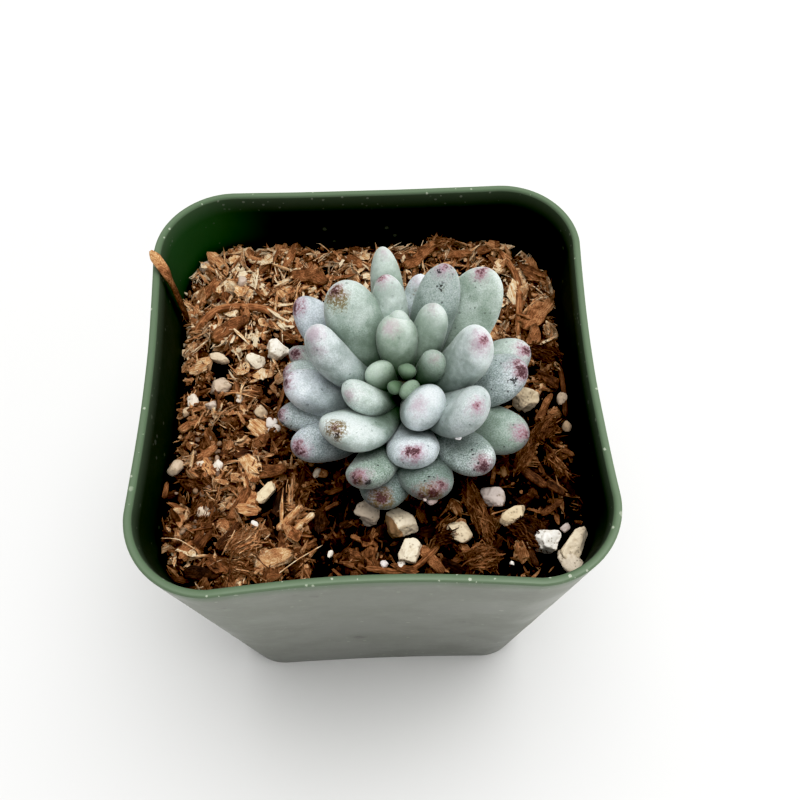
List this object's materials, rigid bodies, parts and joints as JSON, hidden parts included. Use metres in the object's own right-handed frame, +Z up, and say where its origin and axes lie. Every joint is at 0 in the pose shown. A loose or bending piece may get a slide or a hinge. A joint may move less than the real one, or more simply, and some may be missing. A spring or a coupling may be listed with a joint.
{
  "type": "potted succulent",
  "caption": "Rosette of fat blue-green leaves on a short stem, rooted in bark-rich soil with pale mineral grains, in a small tapered square plastic pot.",
  "frame": {"origin": "centre of the pot's flat base, on the surface it stands on", "axes": "+Z up through the pot, -Y out of the pot's front wall, +X to the right seen from the front"},
  "size_m": [0.064, 0.064, 0.0762],
  "materials": {
    "pot": "dark green thin moulded plastic, semi-gloss",
    "soil": "dark potting mix of bark chips and fibres, rough",
    "bark": "dry splintered wood, rough",
    "plant": "blue-green leaf skin with a pale waxy bloom, matt, dark red tips",
    "grain": "off-white porous mineral grain, matt"
  },
  "bodies": {
    "root": {"pot": "pot", "soil": "soil", "plant": "plant", "sliver": "bark", "perlite_01": "grain", "perlite_02": "grain", "perlite_03": "grain", "perlite_04": "grain", "perlite_05": "grain", "perlite_06": "grain", "perlite_07": "grain", "perlite_08": "grain", "perlite_09": "grain", "perlite_10": "grain", "perlite_11": "grain", "perlite_12": "grain", "perlite_13": "grain", "perlite_14": "grain"}
  },
  "joints": []
}
